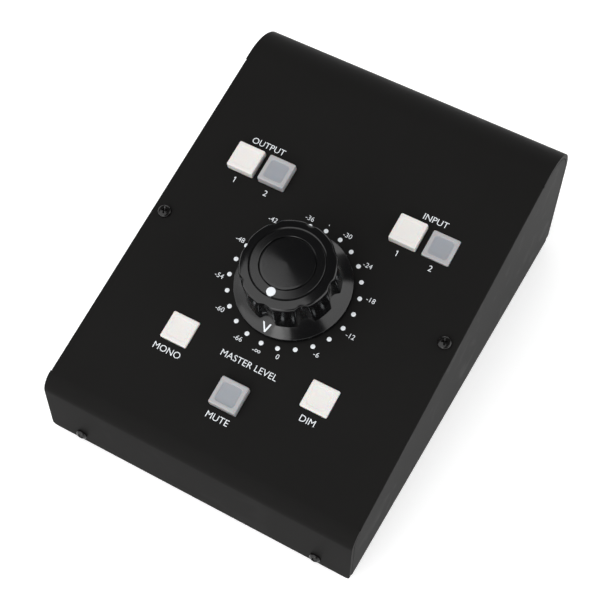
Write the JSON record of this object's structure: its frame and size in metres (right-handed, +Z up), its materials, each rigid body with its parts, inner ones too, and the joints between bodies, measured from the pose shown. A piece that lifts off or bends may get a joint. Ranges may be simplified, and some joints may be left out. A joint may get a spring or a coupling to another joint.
{
  "type": "monitor controller",
  "caption": "Desktop monitor controller: black folded-steel wedge with a fluted stepped volume knob, square push buttons and rear audio jacks.",
  "frame": {"origin": "on the table under the middle of the footprint, screw heads and jack bushings included", "axes": "+X to the right seen from the front, +Y towards the rear wall with the jacks, +Z up"},
  "size_m": [0.1456, 0.2046, 0.0838],
  "materials": {
    "case_coat": "fine satin black powder coat",
    "black_steel": "blackened steel, satin",
    "foot_rubber": "matt",
    "bright_steel": "bright zinc plate",
    "nickel": "nickel plate",
    "brass_part": "turned",
    "frame_metal": "die cast, satin",
    "circuit_board": "solder mask over fibreglass",
    "resistor_body": "lacquer",
    "switch_plastic": "moulded",
    "plunger_plastic": "moulded",
    "cap_warm_white": "satin, moulded",
    "cap_grey": "satin, moulded",
    "knob_black": "gloss black",
    "marking_white": "paint fill",
    "jack_plastic": "moulded",
    "ribbon_grey": "flexible insulation"
  },
  "bodies": {
    "case": {"top_cover": "case_coat", "base_plate": "case_coat", "rubber_feet": "foot_rubber", "case_screws": "black_steel", "clinch_nuts": "bright_steel", "board_pillars": "nickel", "board_screws": "bright_steel", "main_board": "circuit_board", "resistors": "resistor_body", "attenuator_frame": "frame_metal", "attenuator_washer": "bright_steel", "attenuator_nut": "nickel", "detent_balls": "bright_steel", "detent_springs": "bright_steel", "attenuator_decks": "circuit_board", "attenuator_rods": "bright_steel", "input_jacks": "jack_plastic", "output_jacks": "jack_plastic", "jack_washers": "bright_steel", "jack_nuts": "nickel", "rear_board": "circuit_board", "board_headers": "switch_plastic", "ribbon_cable": "ribbon_grey", "output_1_switch": "switch_plastic", "output_1_spring": "bright_steel", "output_2_switch": "switch_plastic", "output_2_spring": "bright_steel", "input_1_switch": "switch_plastic", "input_1_spring": "bright_steel", "input_2_switch": "switch_plastic", "input_2_spring": "bright_steel", "mono_switch": "switch_plastic", "mono_spring": "bright_steel", "dim_switch": "switch_plastic", "dim_spring": "bright_steel", "mute_switch": "switch_plastic", "mute_spring": "bright_steel"},
    "knob": {"knob_body": "knob_black", "knob_disc": "knob_black", "knob_dot": "marking_white", "knob_pointer": "marking_white", "knob_set_screws": "black_steel", "attenuator_shaft": "brass_part", "detent_wheel": "brass_part", "attenuator_wiper": "switch_plastic"},
    "output_1_button": {"output_1_cap": "cap_warm_white", "output_1_plunger": "plunger_plastic"},
    "output_2_button": {"output_2_cap": "cap_grey", "output_2_plunger": "plunger_plastic"},
    "input_1_button": {"input_1_cap": "cap_warm_white", "input_1_plunger": "plunger_plastic"},
    "input_2_button": {"input_2_cap": "cap_grey", "input_2_plunger": "plunger_plastic"},
    "mono_button": {"mono_cap": "cap_warm_white", "mono_plunger": "plunger_plastic"},
    "dim_button": {"dim_cap": "cap_warm_white", "dim_plunger": "plunger_plastic"},
    "mute_button": {"mute_cap": "cap_grey", "mute_plunger": "plunger_plastic"}
  },
  "joints": [
    {"name": "knob_turn", "type": "hinge", "parent": "case", "child": "knob", "pos_m": [0, -0.0181, 0.05668], "axis": [0, 0.2317, -0.9728], "range_deg": [0, 345]},
    {"name": "output_1_press", "type": "slide", "parent": "case", "child": "output_1_button", "axis": [0, 0.2317, -0.9728], "range_m": [0, 0.003], "stiffness_N_per_m": 500, "springref_m": -0.003, "deforming": ["output_1_spring"]},
    {"name": "output_2_press", "type": "slide", "parent": "case", "child": "output_2_button", "axis": [0, 0.2317, -0.9728], "range_m": [0, 0.003], "stiffness_N_per_m": 500, "springref_m": -0.003, "deforming": ["output_2_spring"]},
    {"name": "input_1_press", "type": "slide", "parent": "case", "child": "input_1_button", "axis": [0, 0.2317, -0.9728], "range_m": [0, 0.003], "stiffness_N_per_m": 500, "springref_m": -0.003, "deforming": ["input_1_spring"]},
    {"name": "input_2_press", "type": "slide", "parent": "case", "child": "input_2_button", "axis": [0, 0.2317, -0.9728], "range_m": [-0.0025, 0.0005], "deforming": ["input_2_spring"]},
    {"name": "mono_press", "type": "slide", "parent": "case", "child": "mono_button", "axis": [0, 0.2317, -0.9728], "range_m": [-0.0025, 0.0005], "deforming": ["mono_spring"]},
    {"name": "dim_press", "type": "slide", "parent": "case", "child": "dim_button", "axis": [0, 0.2317, -0.9728], "range_m": [-0.0025, 0.0005], "deforming": ["dim_spring"]},
    {"name": "mute_press", "type": "slide", "parent": "case", "child": "mute_button", "axis": [0, 0.2317, -0.9728], "range_m": [0, 0.003], "stiffness_N_per_m": 500, "springref_m": -0.003, "deforming": ["mute_spring"]}
  ]
}
